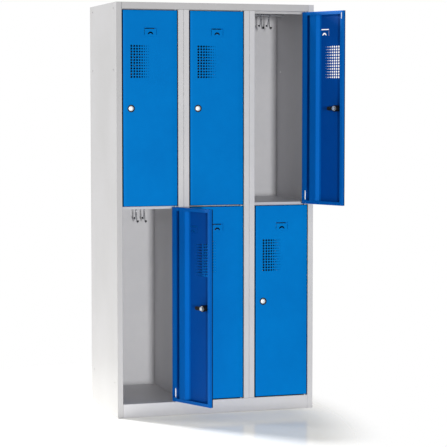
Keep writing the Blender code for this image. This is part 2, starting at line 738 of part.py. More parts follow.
def build_door(column, tier, index, shapes, materials, home):
    """One door with everything that swings with it."""
    bottom, top = door_span(tier)
    turn = OPEN_ANGLE if (column, tier) in OPEN_DOORS else 0.0
    tag = "_" + column + "_" + tier
    hinge = pivot("hinge_axis" + tag, home, (hinge_x(index), FRONT + HINGE_SETBACK, bottom),
                  turn=turn)
    place("door" + tag, shapes["leaf"], materials["door_paint"], home, parent=hinge)
    place("door_stiffener" + tag, shapes["stiffener"], materials["door_paint"], home, parent=hinge)
    place("hinge_rod" + tag, shapes["rod"], materials["rod_steel"], home, parent=hinge)
    lock_at = (HINGE_INSET - DOOR_WIDTH + LOCK_INSET, -HINGE_SETBACK, (top - bottom) / 2)
    lock = pivot("lock_axis" + tag, home, lock_at, parent=hinge)
    place("lock_body" + tag, shapes["lock_body"], materials["lock_black"], home, parent=lock)
    place("lock_cam" + tag, shapes["lock_cam"], materials["lock_chrome"], home, parent=lock)


def build_hanging(column, tier, index, shapes, materials, home):
    """Coat rail of one compartment with its two hooks."""
    ceiling = HEIGHT - SHEET if tier == "upper" else SHELF_TOP - SHEET
    rail_y = FRONT + DEPTH - RAIL_FROM_REAR
    rail_z = ceiling - RAIL_DROP[tier]
    tag = "_" + column + "_" + tier
    centre_x = column_left(index) + COLUMN_WIDTH / 2
    place("coat_rail" + tag, shapes["rail"], materials["rail_steel"], home,
          location=(centre_x, rail_y, rail_z))
    for letter, along in HOOK_PLACES.items():
        place("coat_hook_" + letter + tag, shapes["hook"], materials["hook_chrome"], home,
              location=(column_left(index) + along, rail_y, rail_z))


def main():
    """Build the whole locker."""
    clear_scene()
    home = bpy.data.collections.new("school_locker")
    bpy.context.scene.collection.children.link(home)
    materials = {name: make_material(name) for name in COLOURS}
    build_body(materials, home)
    common = {"lock_body": lock_body(), "lock_cam": lock_cam(),
              "rail": coat_rail(), "hook": coat_hook()}
    for mesh in common.values():
        round_off(mesh)
    for tier in TIERS:
        bottom, top = door_span(tier)
        shapes = {"leaf": door_leaf(top - bottom), "stiffener": door_stiffener(top - bottom),
                  "rod": hinge_rod(tier), **common}
        round_off(shapes["rod"])
        for index, column in enumerate(COLUMNS):
            build_door(column, tier, index, shapes, materials, home)
            build_hanging(column, tier, index, shapes, materials, home)


main()
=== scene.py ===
# %% [markdown]
# # A steel school locker, three columns and two tiers
# The locker is folded from 1 mm sheet, powder coated light grey, with bright blue doors.
# The fixed frame holds every panel, door, lock, rail and hook where it really is. This
# lesson gives the panels their paint, and makes the doors, locks, rods, rails and hooks
# again as finer surfaces, because the frame's own are cut with few sides.

import json
import math

import bmesh
import bpy
import numpy as np
from mathutils import Matrix, Vector


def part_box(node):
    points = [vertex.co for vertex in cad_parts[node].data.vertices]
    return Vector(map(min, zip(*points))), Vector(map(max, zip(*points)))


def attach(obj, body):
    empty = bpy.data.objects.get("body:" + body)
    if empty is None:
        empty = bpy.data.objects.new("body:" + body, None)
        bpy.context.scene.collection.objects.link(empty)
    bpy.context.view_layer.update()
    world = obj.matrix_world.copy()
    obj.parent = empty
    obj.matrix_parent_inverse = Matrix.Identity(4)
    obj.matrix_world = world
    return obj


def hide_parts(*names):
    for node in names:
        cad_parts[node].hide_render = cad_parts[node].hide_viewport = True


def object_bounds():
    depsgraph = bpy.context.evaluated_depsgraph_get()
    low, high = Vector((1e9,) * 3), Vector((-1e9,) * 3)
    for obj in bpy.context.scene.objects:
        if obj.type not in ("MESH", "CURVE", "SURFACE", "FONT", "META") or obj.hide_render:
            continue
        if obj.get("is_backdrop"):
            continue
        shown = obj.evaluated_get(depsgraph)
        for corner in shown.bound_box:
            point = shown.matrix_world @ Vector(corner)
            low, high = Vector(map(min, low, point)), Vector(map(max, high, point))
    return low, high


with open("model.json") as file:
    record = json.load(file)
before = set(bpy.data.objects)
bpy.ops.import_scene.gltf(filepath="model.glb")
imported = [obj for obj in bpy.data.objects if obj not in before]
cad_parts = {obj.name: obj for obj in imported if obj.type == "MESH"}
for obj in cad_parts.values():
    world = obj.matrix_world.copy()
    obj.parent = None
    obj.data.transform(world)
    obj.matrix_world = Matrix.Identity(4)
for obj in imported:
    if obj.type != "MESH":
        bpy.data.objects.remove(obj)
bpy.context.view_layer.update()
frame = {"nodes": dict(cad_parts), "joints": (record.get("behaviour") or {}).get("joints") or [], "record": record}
joints = {joint["name"]: joint for joint in frame["joints"]}
MM = 0.001

# %% [markdown]
# ## Six compartments
# Everything is repeated by column and by tier. A door's own axes have the hinge line as
# Z, the leaf's lower edge at zero and the front skin on the -Y side. Two doors stand
# open: a door whose joint can turn back by 116 degrees is already open by that much.

# %% Name the compartments and place their doors
COLUMNS = ("left", "middle", "right")
TIERS = ("lower", "upper")
TAGS = [column + "_" + tier for column in COLUMNS for tier in TIERS]


def door_place(tag):
    """Matrix from a door's own axes: a turn about Z by its opening, then a move to its hinge."""
    joint = joints["door_hinge_" + tag]
    opening = math.radians(-joint["range_deg"][0])
    hinge_x, hinge_y, _ = joint["pos_m"]
    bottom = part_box("door_" + tag)[0].z
    return Matrix.Translation((hinge_x, hinge_y, bottom)) @ Matrix.Rotation(opening, 4, "Z")


def door_height(tag):
    """Height of a door's leaf."""
    low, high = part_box("door_" + tag)
    return high.z - low.z


for tag in TAGS:
    print(tag, "door", round(door_height(tag) / MM, 1), "mm high")

# %% [markdown]
# ## Colours and nodes
# Colours are written as the hex values of a paint card. One function turns them into the
# linear numbers that a shader works with, and one function adds a node with its settings
# and its links, so that each finish below reads as a short list.

# %% Helpers for colours and nodes


def linear(hex_colour, alpha=1.0):
    """sRGB hex to linear: v / 12.92 up to 0.04045, or ((v + 0.055) / 1.055) ** 2.4 above."""
    value = np.array([int(hex_colour[i:i + 2], 16) for i in (1, 3, 5)]) / 255
    bent = np.where(value <= 0.04045, value / 12.92, ((value + 0.055) / 1.055) ** 2.4)
    return (*(float(v) for v in bent), alpha)


def add(tree, kind, settings=None, links=None):
    """Add a node. Settings are its properties or its sockets; links name sockets to feed."""
    node = tree.nodes.new("ShaderNode" + kind)
    for name, value in (settings or {}).items():
        if isinstance(name, str) and hasattr(node, name):
            setattr(node, name, value)
        else:
            node.inputs[name].default_value = value
    for name, source in (links or {}).items():
        tree.links.new(source, node.inputs[name])
    return node


def new_finish(name):
    """An empty node material with its output, and the coordinates that its patterns read."""
    finish = bpy.data.materials.new(name)
    finish.use_nodes = True
    tree = finish.node_tree
    tree.nodes.clear()
    output = add(tree, "OutputMaterial")
    place = add(tree, "TexCoord").outputs["Object"]
    return finish, tree, output, place


print("a light grey paint is", [round(v, 3) for v in linear("#D7D9DA")])

# %% [markdown]
# ## Powder coat
# The body and the doors are polyester powder coat, sprayed as dry powder and baked until
# it flows. It levels less than wet paint, so its gloss is broken up by a fine orange
# peel of about 2 mm, and a large sheet is never quite flat, so reflections drift slowly
# over it. The peel is drawn at 5 mm, because 2 mm is finer than the picture shows. A
# leaf's inside and its folds get deeper blues of their own, which are painted shade.

# %% Powder coat finishes
PEEL = 5 * MM
WAVE = 300 * MM
CLOUD = 45 * MM


def powder_coat(name, hex_colour, deep_hex, roughness, specular, tint="#FFFFFF"):
    """Baked powder coat: a colour that drifts a little, peel and waviness as bump."""
    finish, tree, output, place = new_finish(name)
    cloud = add(tree, "TexNoise", {"Scale": 1 / CLOUD, "Detail": 4.0, "Roughness": 0.6},
                {"Vector": place})
    drift = add(tree, "TexNoise", {"Scale": 1 / WAVE, "Detail": 1.0}, {"Vector": place})
    blend = add(tree, "Math", {"operation": "MULTIPLY_ADD", 1: 0.5},
                {0: cloud.outputs["Fac"], 2: drift.outputs["Fac"]})
    colour = add(tree, "ValToRGB", {}, {"Fac": blend.outputs[0]})
    colour.color_ramp.elements[0].position = 0.45
    colour.color_ramp.elements[0].color = linear(deep_hex)
    colour.color_ramp.elements[1].position = 1.05
    colour.color_ramp.elements[1].color = linear(hex_colour)
    gloss = add(tree, "MapRange", {"To Min": roughness - 0.05, "To Max": roughness + 0.05},
                {"Value": cloud.outputs["Fac"]})
    peel = add(tree, "TexNoise", {"Scale": 1 / PEEL, "Detail": 1.0}, {"Vector": place})
    wavy = add(tree, "Bump", {"Strength": 0.35, "Distance": 1.2 * MM},
               {"Height": drift.outputs["Fac"]})
    bump = add(tree, "Bump", {"Strength": 0.10, "Distance": 0.12 * MM},
               {"Height": peel.outputs["Fac"], "Normal": wavy.outputs["Normal"]})
    shader = add(tree, "BsdfPrincipled",
                 {"IOR": 1.5, "Specular IOR Level": specular, "Specular Tint": linear(tint)},
                 {"Base Color": colour.outputs["Color"], "Roughness": gloss.outputs["Result"],
                  "Normal": bump.outputs["Normal"]})
    tree.links.new(shader.outputs["BSDF"], output.inputs["Surface"])
    return finish


body_grey = powder_coat("powder_coat_light_grey", "#DCDBDD", "#D3D3D6", 0.42, 0.35)
# A darker copy of the grey for the left wall and the top: painted shade.
grey_painted_shade = powder_coat("powder_coat_grey_painted_shade", "#CBCACB", "#C4C3C3", 0.42, 0.35)
door_blue = powder_coat("powder_coat_sky_blue", "#0080D4", "#0078CB", 0.40, 0.30, "#3F9FFF")
# Deeper blues for the folds, the stiffeners and the leaf's inside: painted shade.
folds_painted_shade_blue = powder_coat("powder_coat_blue_folds_painted_shade", "#0068C4", "#0060BA", 0.42, 0.30, "#3F9FFF")
inside_painted_shade_blue = powder_coat("powder_coat_blue_inside_painted_shade", "#0050AA", "#004AA2", 0.42, 0.25, "#2F8FFF")
# A near-black blue for the leaf's front edge and the walls of its cut-outs: painted shade in the gaps and holes.
edge_painted_shade_blue = powder_coat("powder_coat_edge_painted_shade", "#031B38", "#02152D", 0.50, 0.15, "#2F8FFF")
print([coat.name for coat in (body_grey, grey_painted_shade, door_blue, folds_painted_shade_blue, inside_painted_shade_blue, edge_painted_shade_blue)])

# %% [markdown]
# ## Metals, plastic and rubber
# The locks are zinc die castings: the housing is chromated black, and the plug's face is
# polished and chrome plated, as the nuts and the hinge rods are. The rails and hooks are
# drawn steel tube and wire with bright zinc plate, whose thin oxide is a little cloudy.
# The hooks' tips are dipped in black. The buffers are white rubber.

# %% Metal, black casting and rubber finishes


def plated(name, hex_colour, roughness, cloud_size):
    """Plated metal: a bright metal whose roughness and tone cloud over a few millimetres."""
    finish, tree, output, place = new_finish(name)
    cloud = add(tree, "TexNoise", {"Scale": 1 / cloud_size, "Detail": 3.0}, {"Vector": place})
    tone = add(tree, "Mix", {"data_type": "RGBA", 6: linear(hex_colour), 7: linear("#FFFFFF")})
    share = add(tree, "Math", {"operation": "MULTIPLY", 1: 0.25}, {0: cloud.outputs["Fac"]})
    tree.links.new(share.outputs[0], tone.inputs[0])
    gloss = add(tree, "MapRange", {"To Min": roughness * 0.7, "To Max": roughness * 1.4},
                {"Value": cloud.outputs["Fac"]})
    bump = add(tree, "Bump", {"Strength": 0.15, "Distance": 0.05 * MM},
               {"Height": cloud.outputs["Fac"]})
    shader = add(tree, "BsdfPrincipled", {"Metallic": 1.0},
                 {"Base Color": tone.outputs[2], "Roughness": gloss.outputs["Result"],
                  "Normal": bump.outputs["Normal"]})
    tree.links.new(shader.outputs["BSDF"], output.inputs["Surface"])
    return finish


def moulded(name, dark_hex, light_hex, roughness, grain):
    """A solid plastic, rubber or chromated casting with a fine grain in tone and height."""
    finish, tree, output, place = new_finish(name)
    speck = add(tree, "TexNoise", {"Scale": 1 / grain, "Detail": 2.0}, {"Vector": place})
    colour = add(tree, "ValToRGB", {}, {"Fac": speck.outputs["Fac"]})
    colour.color_ramp.elements[0].position = 0.3
    colour.color_ramp.elements[0].color = linear(dark_hex)
    colour.color_ramp.elements[1].position = 0.7
    colour.color_ramp.elements[1].color = linear(light_hex)
    bump = add(tree, "Bump", {"Strength": 0.2, "Distance": 0.05 * MM},
               {"Height": speck.outputs["Fac"]})
    shader = add(tree, "BsdfPrincipled", {"Roughness": roughness, "Specular IOR Level": 0.25},
                 {"Base Color": colour.outputs["Color"], "Normal": bump.outputs["Normal"]})
    tree.links.new(shader.outputs["BSDF"], output.inputs["Surface"])
    return finish


chrome = plated("chrome_plate", "#E4EBF1", 0.47, 4 * MM)
zinc = plated("bright_zinc_plate", "#F0F2F5", 0.50, 6 * MM)
hook_wire = plated("zinc_plated_wire", "#D9DCE1", 0.24, 5 * MM)
black_casting = moulded("black_chromate_casting", "#0C0C0D", "#1B1B1D", 0.42, 1.5 * MM)
white_rubber = moulded("white_rubber", "#DDE3E8", "#F2F5F7", 0.6, 2 * MM)
print(chrome.name, zinc.name, hook_wire.name, black_casting.name, white_rubber.name)

# %% [markdown]
# ## Putting a surface into a mesh
# Each new piece is a set of points and faces that numpy has worked out. One function
# puts them into a mesh, welds the points that lie on each other, turns every face
# outwards, places it, and says which body of the frame it moves with.

# %% Make a piece


WELD = 0.002 * MM
SHARP = math.radians(35)


def make_piece(name, points, faces, finishes, body, replaced=(), place=None, marks=None):
    """Object from points and faces, its place in its mesh, riding on a body of the frame."""
    mesh = bpy.data.meshes.new(name)
    mesh.from_pydata(points, [], faces)
    for finish in finishes:
        mesh.materials.append(finish)
    if marks is not None:
        mesh.polygons.foreach_set("material_index", marks)
    if place is not None:
        mesh.transform(place)
    shape = bmesh.new()
    shape.from_mesh(mesh)
    bmesh.ops.remove_doubles(shape, verts=shape.verts, dist=WELD)
    bmesh.ops.recalc_face_normals(shape, faces=shape.faces)
    shape.to_mesh(mesh)
    shape.free()
    mesh.shade_smooth()
    mesh.set_sharp_from_angle(angle=SHARP)
    item = bpy.data.objects.new(name, mesh)
    bpy.context.scene.collection.objects.link(item)
    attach(item, body)
    if replaced:
        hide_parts(*replaced)
    return item


def loft(rings):
    """Closed skin over rings of equal count: quads between neighbours, a cap on each end.

    Point k of ring j has the index j * n + k, so a quad is (j, k), (j, k+1), (j+1, k+1), (j+1, k).
    """
    rings = np.asarray(rings, float)
    rows, count, _ = rings.shape
    j, k = np.meshgrid(np.arange(rows - 1), np.arange(count), indexing="ij")
    after = (k + 1) % count
    quads = np.stack([j * count + k, j * count + after,
                      (j + 1) * count + after, (j + 1) * count + k], -1).reshape(-1, 4)
    caps = [list(range(count))[::-1], list(range((rows - 1) * count, rows * count))]
    return rings.reshape(-1, 3), quads.tolist() + caps


def soften(line, radius, steps=4):
    """Round a line's inner corners: each becomes (1-t)^2 A + 2t(1-t) P + t^2 B, where A and
    B lie a radius from the corner P on its two sides, or half a side where that is less."""
    line = np.asarray(line, float)
    side = np.diff(line, axis=0)
    length = np.linalg.norm(side, axis=1)
    unit = side / length[:, None]
    reach = np.minimum(radius, 0.45 * np.minimum(length[:-1], length[1:]))[:, None]
    corner = line[1:-1]
    start = corner - unit[:-1] * reach
    end = corner + unit[1:] * reach
    t = np.linspace(0, 1, steps)[None, :, None]
    bend = ((1 - t) ** 2 * start[:, None] + 2 * t * (1 - t) * corner[:, None]
            + t ** 2 * end[:, None])
    return np.concatenate([line[:1], bend.reshape(-1, line.shape[1]), line[-1:]])


def turned(profile, sides=40, axis="Z"):
    """Rings of a turned piece: (r cos a, r sin a) round the axis at each (r, place) of a line."""
    radius, place = np.asarray(profile, float).T
    angle = np.linspace(0, math.tau, sides, endpoint=False)
    round_x = radius[:, None] * np.cos(angle)
    round_y = radius[:, None] * np.sin(angle)
    along = np.broadcast_to(place[:, None], round_x.shape)
    order = {"Z": (round_x, round_y, along), "Y": (round_x, along, round_y),
             "X": (along, round_x, round_y)}[axis]
    return np.stack(order, -1)


print("a softened corner has", len(soften([(0, 0), (1, 0), (1, 1)], 0.2)), "points")

# %% [markdown]
# ## Paint on the body
# The folded panels of the frame already have the right shape, with their folds, holes
# and flanges, so they only need their paint. The stiffeners inside the doors do too. The
# left wall and the top get a darker copy of the grey, which is painted shade.

# %% Paint the panels that stay
PANELS = frame["record"]["behaviour"]["bodies"]["frame"]
PAINTED_SHADE_PANELS = ("side_panel_left", "top_panel")


def repaint(node, finish):
    """Give a node of the frame one finish."""
    mesh = frame["nodes"][node].data
    mesh.materials.clear()
    mesh.materials.append(finish)


# The left wall and the top get the darker grey, which is painted shade.
for node in PANELS:
    repaint(node, grey_painted_shade if node in PAINTED_SHADE_PANELS else body_grey)
# The stiffeners get the deeper fold blue, which is painted shade.
for tag in TAGS:
    repaint("door_stiffener_" + tag, folds_painted_shade_blue)
print(len(PANELS), "panels and rails painted,", len(TAGS), "stiffeners")

# %% [markdown]
# ## The door leaf
# A leaf is one blank of sheet: the skin, four folded walls and a lip along each. It could
# be a box with holes cut by booleans, but those leave ragged triangles round a hundred
# vents. Here it is worked out as a pierced grid and a folded edge. Its overall size, its
# hinge line and its lock's place are read from the frame.

# %% Sizes of the leaf, from its free edge and its top, in millimetres
shut_low, shut_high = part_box("door_left_upper")
lock_low, lock_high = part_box("lock_body_left_upper")
hinge_x, hinge_y, _ = joints["door_hinge_left_upper"]["pos_m"]
LEAF_WIDTH = round((shut_high.x - shut_low.x) / MM)
LEAF_DEPTH = round((shut_high.y - shut_low.y) / MM)
HINGE_INSET = round((shut_high.x - hinge_x) / MM)
HINGE_SETBACK = round((hinge_y - shut_low.y) / MM)
LOCK_AT = round(((lock_low.x + lock_high.x) / 2 - shut_low.x) / MM)
LOCK_RADIUS = 12.5
SHEET = 1.0
FOLD = 3.0
EASE = 0.8
EDGE_DEPTH = 6.0
LIP = 16
HINGE_LIP = 30
NOTCH_LIP = 3.0
NOTCH = (20, 60)
CELL = 30
print("leaf", LEAF_WIDTH, "x", LEAF_DEPTH, "mm, hinge", HINGE_INSET, HINGE_SETBACK, "lock", LOCK_AT)

# %% [markdown]
# ### Holes in the skin
# Twelve rows of punched vents shrink from column to column towards the hinge. Above them a
# frame for a label card is pressed into the skin, with a slot along its top, one down each
# side, and a thumb notch that lets the card be pushed out. A circle, a slot and a notch
# are all the same curve, a superellipse, with other numbers.

# %% Sizes of the vents and of the label's frame
VENT_ROWS = 12
VENT_ROW_PITCH = 12.05
VENT_TOP = 156
VENT_COLUMN = np.arange(8)
VENT_AT = 39.5 + 13.0 * VENT_COLUMN - 0.35 * VENT_COLUMN * (VENT_COLUMN - 1)
VENT_RADIUS = np.array([4.6, 4.6, 4.4, 4.0, 3.3, 2.5, 1.8, 1.2])
VENT_MARGIN = (6.2, 4.2)
LABEL_AT = 125
LABEL_TOP = 80
LABEL_SLOT = (27, 2.1)
SIDE_SLOT = (0.8, 12)
SIDE_SLOT_AT = 26.3
SIDE_SLOT_DROP = 16.4
THUMB = (12.5, 12)
THUMB_DROP = 26
FRAME_HALF = 31
FRAME_ABOVE = 5
FRAME_BELOW = 34.6
FRAME_DEPTH = 0.6
FRAME_SLOPE = 0.6
print("vent columns at", VENT_AT.round(1), "radii", VENT_RADIUS.round(2))

# %% Cut-outs of the skin
ROUND = 2
SQUARE = 8
OUTLINE_POINTS = 16


def cut_outs(height):
    """Rows of (centre, centre height, half width, half height, power, flat below, block).

    A block is the (left, right, low, high) of the grid cells that the cut-out takes.
    """
    rows = []
    between = (VENT_AT[1:] + VENT_AT[:-1]) / 2
    edges = np.concatenate([[VENT_AT[0] - VENT_MARGIN[0]], between, [VENT_AT[-1] + VENT_MARGIN[1]]])
    half = VENT_ROW_PITCH / 2
    for row in range(VENT_ROWS):
        z = height - VENT_TOP - row * VENT_ROW_PITCH
        for column in VENT_COLUMN:
            radius = VENT_RADIUS[column]
            block = (edges[column], edges[column + 1], z - half, z + half)
            rows.append((VENT_AT[column], z, radius, radius, ROUND, False, block))
    top = height - LABEL_TOP
    block = (LABEL_AT - 30, LABEL_AT + 30, top - 3, top + 3)
    rows.append((LABEL_AT, top, *LABEL_SLOT, SQUARE, False, block))
    for side in (-1, 1):
        x = LABEL_AT + side * SIDE_SLOT_AT
        block = (x - 2.3, x + 2.3, top - 31, top - 3)
        rows.append((x, top - SIDE_SLOT_DROP, *SIDE_SLOT, SQUARE, False, block))
    thumb = top - THUMB_DROP
    block = (LABEL_AT - 16, LABEL_AT + 16, thumb - 4, thumb + 15)
    rows.append((LABEL_AT, thumb, *THUMB, ROUND, True, block))
    block = (LOCK_AT - 15, LOCK_AT + 15, height / 2 - 15, height / 2 + 15)
    rows.append((LOCK_AT, height / 2, LOCK_RADIUS, LOCK_RADIUS, ROUND, False, block))
    return rows


def outline(centre_x, centre_z, half_x, half_z, power, flat):
    """Superellipse: x = a |cos t|^(2/p), z = b |sin t|^(2/p) with their signs, from t = 45
    degrees. Instead of its lower half a flat one has a bump 0.48 b (1 - (x / 0.62 a)^2)."""
    t = math.pi / 4 + np.linspace(0, math.tau, OUTLINE_POINTS, endpoint=False)
    x = half_x * np.sign(np.cos(t)) * np.abs(np.cos(t)) ** (2 / power)
    z = half_z * np.sign(np.sin(t)) * np.abs(np.sin(t)) ** (2 / power)
    if flat:
        bump = 0.48 * half_z * np.clip(1 - (x / (0.62 * half_x)) ** 2, 0, 1)
        z = np.where(z < 0.01 * half_z, bump, z)
    return np.stack([centre_x + x, centre_z + z], -1)


print(len(cut_outs(850)), "cut-outs in each leaf")

# %% [markdown]
# ### Grid of the skin
# The skin is a grid whose lines run through the edges of every cut-out's block, through
# the edges of the label's frame and at the ends of the notch in the lip. Between those the
# lines are even. An even grid all over would need far more cells to meet every edge.

# %% Grid lines and the pressed frame


def even_lines(stops, spacing):
    """The stops with even lines between them, no further apart than the spacing."""
    stops = np.unique(np.round(stops, 4))
    runs = [np.linspace(a, b, max(1, math.ceil((b - a) / spacing)), endpoint=False)
            for a, b in zip(stops[:-1], stops[1:])]
    return np.concatenate(runs + [stops[-1:]])


def skin_lines(height, cuts):
    """Grid lines across and up the skin. None falls in the strips that the lips cover."""
    blocks = np.array([cut[-1] for cut in cuts])
    left, right = LABEL_AT - FRAME_HALF, LABEL_AT + FRAME_HALF
    high, low = height - LABEL_TOP + FRAME_ABOVE, height - LABEL_TOP - FRAME_BELOW
    across = np.concatenate([blocks[:, 0], blocks[:, 1], [LIP + 1, LEAF_WIDTH - HINGE_LIP - 1],
                             [left, left + FRAME_SLOPE, right - FRAME_SLOPE, right]])
    up = np.concatenate([blocks[:, 2], blocks[:, 3], [LIP + 1, height - LIP - 1],
                         [NOTCH[0], NOTCH[0] + 0.3, NOTCH[1], NOTCH[1] + 0.3],
                         [high, high - FRAME_SLOPE, low + FRAME_SLOPE, low]])
    xs = np.concatenate([[FOLD], even_lines(across, CELL), [LEAF_WIDTH - FOLD]])
    zs = np.concatenate([[FOLD], even_lines(up, CELL), [height - FOLD]])
    return xs, zs


def pressed(x, z, height):
    """How far the skin is pressed back, in mm: the full depth inside the label's frame, and
    at its border the distance inside it over the width of the slope, if that is less."""
    label = height - LABEL_TOP
    inside_x = np.minimum(x - (LABEL_AT - FRAME_HALF), (LABEL_AT + FRAME_HALF) - x)
    inside_z = np.minimum(z - (label - FRAME_BELOW), (label + FRAME_ABOVE) - z)
    return FRAME_DEPTH * np.clip(np.minimum(inside_x, inside_z) / FRAME_SLOPE, 0, 1)


xs, zs = skin_lines(850, cut_outs(850))
print(len(xs), "lines across the skin and", len(zs), "up it")

# %% [markdown]
# ### Folded edge
# The edge of the leaf is a folded profile carried round the rectangle with mitred
# corners. A bend in sheet is never sharp: its outside has the radius FOLD.

# %% The folded edge of the leaf


def edge_profile():
    """The edge's line from the front skin round to the back skin: (inset, depth) in mm.

    It runs out over the fold, back along the wall, in along the lip, round the lip's end,
    and returns a sheet's thickness inside itself. The walls stand an easing inside the
    leaf's full size. An inset of -1 stands for the lip's end. A fold is a quarter turn,
    (F - r sin a, F - F cos a), with its reach r and the fold's radius F.
    """
    quarter = np.linspace(0, math.pi / 2, 5)
    reach = FOLD - EASE
    inner = FOLD - SHEET
    out_front = np.stack([FOLD - reach * np.sin(quarter), FOLD - FOLD * np.cos(quarter)], -1)
    out_back = out_front[::-1] * (1, -1) + (0, LEAF_DEPTH)
    in_front = np.stack([FOLD - (reach - SHEET) * np.sin(quarter),
                         FOLD - inner * np.cos(quarter)], -1)
    in_back = in_front[::-1] * (1, -1) + (0, LEAF_DEPTH)
    lip_end = np.array([[-1, LEAF_DEPTH], [-1, LEAF_DEPTH - SHEET]])
    return np.concatenate([out_front, [[EASE, EDGE_DEPTH]], out_back, lip_end,
                           in_back[::-1], in_front[::-1]])


def leaf_rim(xs, zs, height):
    """Points of the edge: at each profile point, the rectangle's border drawn in by its inset."""
    border = np.concatenate([
        np.stack([xs, np.full_like(xs, zs[0])], -1)[:-1],
        np.stack([np.full_like(zs, xs[-1]), zs], -1)[:-1],
        np.stack([xs[::-1], np.full_like(xs, zs[-1])], -1)[:-1],
        np.stack([np.full_like(zs, xs[0]), zs[::-1]], -1)[:-1]])
    profile = edge_profile()
    inset, depth = profile[:, 0][:, None], profile[:, 1][:, None]
    x, z = border[:, 0][None], border[:, 1][None]
    in_notch = (z > NOTCH[0] + 0.1) & (z < NOTCH[1] + 0.2)
    hinge_end = np.where(in_notch, NOTCH_LIP, HINGE_LIP)
    free = np.where(inset < 0, LIP, inset)
    hinge = np.where(inset < 0, hinge_end, inset)
    rim_x = np.clip(x, free, LEAF_WIDTH - hinge)
    rim_x = np.where(x <= xs[0], free, np.where(x >= xs[-1], LEAF_WIDTH - hinge, rim_x))
    rim_z = np.clip(z, free, height - free)
    rim_z = np.where(z <= zs[0], free, np.where(z >= zs[-1], height - free, rim_z))
    rim_y = np.broadcast_to(depth, rim_x.shape)
    return np.stack([rim_x, rim_y, rim_z], -1)


print(len(edge_profile()), "points in the folded profile")

# %% [markdown]
# ### Pierced skin
# A cut-out takes a block of cells out of the grid. Four flat faces join the block's border
# to the outline, and a ring of quads is the sheet's thickness. The back of the skin is the
# same net of faces a sheet's thickness behind, turned over.

# %% The pierced skin


def pierced_skin(xs, zs, cuts):
    """Flat points, front faces and cut-out walls of the skin.

    Point (i, j) of the grid has the index i * n + j, and point k of outline m follows the
    grid at m * 16 + k. A wall joins an outline to its copy in the second layer of points.
    """
    grid_x, grid_z = np.meshgrid(xs, zs, indexing="ij")
    index = np.arange(grid_x.size).reshape(grid_x.shape)
    flat = np.concatenate([np.stack([grid_x.ravel(), grid_z.ravel()], -1)]
                          + [outline(*cut[:6]) for cut in cuts])
    taken = np.zeros((len(xs) - 1, len(zs) - 1), bool)
    front = []
    walls = []
    ring = np.arange(OUTLINE_POINTS)
    after = (ring + 1) % OUTLINE_POINTS
    side = OUTLINE_POINTS // 4
    for number, cut in enumerate(cuts):
        left, right, low, high = cut[-1]
        i0, i1 = np.searchsorted(xs, (left - 0.01, right - 0.01))
        j0, j1 = np.searchsorted(zs, (low - 0.01, high - 0.01))
        taken[i0:i1, j0:j1] = True
        border = (index[i0:i1 + 1, j1][::-1], index[i0, j0:j1 + 1][::-1],
                  index[i0:i1 + 1, j0], index[i1, j0:j1 + 1])
        start = index.size + number * OUTLINE_POINTS
        for turn, edge in enumerate(border):
            arc = start + (turn * side + np.arange(side + 1)) % OUTLINE_POINTS
            front.append([*edge.tolist(), *arc[::-1].tolist()])
        walls.append(start + np.stack([ring, after, len(flat) + after, len(flat) + ring], -1))
    i, j = np.nonzero(~taken)
    quads = np.stack([index[i, j], index[i + 1, j], index[i + 1, j + 1], index[i, j + 1]], -1)
    return flat, front + quads.tolist(), np.concatenate(walls).tolist()


flat, front, walls = pierced_skin(xs, zs, cut_outs(850))
print(len(flat), "points,", len(front), "faces in front,", len(walls), "in the cut-outs")

# %% [markdown]
# ### Whole leaf
# The front skin, its back, the cut-outs' walls and the folded edge go into one mesh, where
# their common points are welded. Each face is marked with its finish: the front skin; the
# inside and the folds in deeper blues that are painted shade; or the front edge and the
# walls of the cut-outs in a near-black blue that is painted shade in the gaps and holes.

# %% The whole leaf
FRONT_MARK, INSIDE_SHADE_MARK, FOLD_SHADE_MARK, EDGE_SHADE_MARK = range(4)
EDGE_SHADE_BANDS = 5


def leaf_surface(height):
    """Points, faces and finish marks of a leaf.

    The skin lies at (x, pressed depth, z), its back a sheet's thickness behind, and the
    edge's quads are (r, c), (r, c+1), (r+1, c+1), (r+1, c) on the rows of its profile.
    """
    cuts = cut_outs(height)
    xs, zs = skin_lines(height, cuts)
    flat, front, walls = pierced_skin(xs, zs, cuts)
    back = [[len(flat) + corner for corner in face[::-1]] for face in front]
    depth = pressed(flat[:, 0], flat[:, 1], height)
    skin = np.stack([flat[:, 0], depth, flat[:, 1]], -1)
    rim = leaf_rim(xs, zs, height)
    rows, count, _ = rim.shape
    r, c = np.meshgrid(np.arange(rows - 1), np.arange(count), indexing="ij")
    after = (c + 1) % count
    edge = 2 * len(flat) + np.stack([r * count + c, r * count + after, (r + 1) * count + after,
                                     (r + 1) * count + c], -1).reshape(-1, 4)
    points = np.concatenate([skin, skin + (0, SHEET, 0), rim.reshape(-1, 3)])
    points = (points - (LEAF_WIDTH - HINGE_INSET, HINGE_SETBACK, 0)) * MM
    # The first bands of the edge get the near-black painted shade, the rest the deeper painted-shade fold blue.
    bands = np.where(np.arange(rows - 1) < EDGE_SHADE_BANDS, EDGE_SHADE_MARK, FOLD_SHADE_MARK)
    marks = np.concatenate([np.full(len(front), FRONT_MARK), np.full(len(back), INSIDE_SHADE_MARK),
                            np.full(len(walls), EDGE_SHADE_MARK), np.repeat(bands, count)])
    return points, front + back + walls + edge.tolist(), marks.astype(np.int32)


for tag in TAGS:
    points, faces, marks = leaf_surface(door_height(tag) / MM)
    leaf = make_piece("leaf_" + tag, points, faces, (door_blue, inside_painted_shade_blue, folds_painted_shade_blue, edge_painted_shade_blue),
                      "door_" + tag, ("door_" + tag,), door_place(tag), marks)
print("each leaf has", len(leaf.data.polygons), "faces")

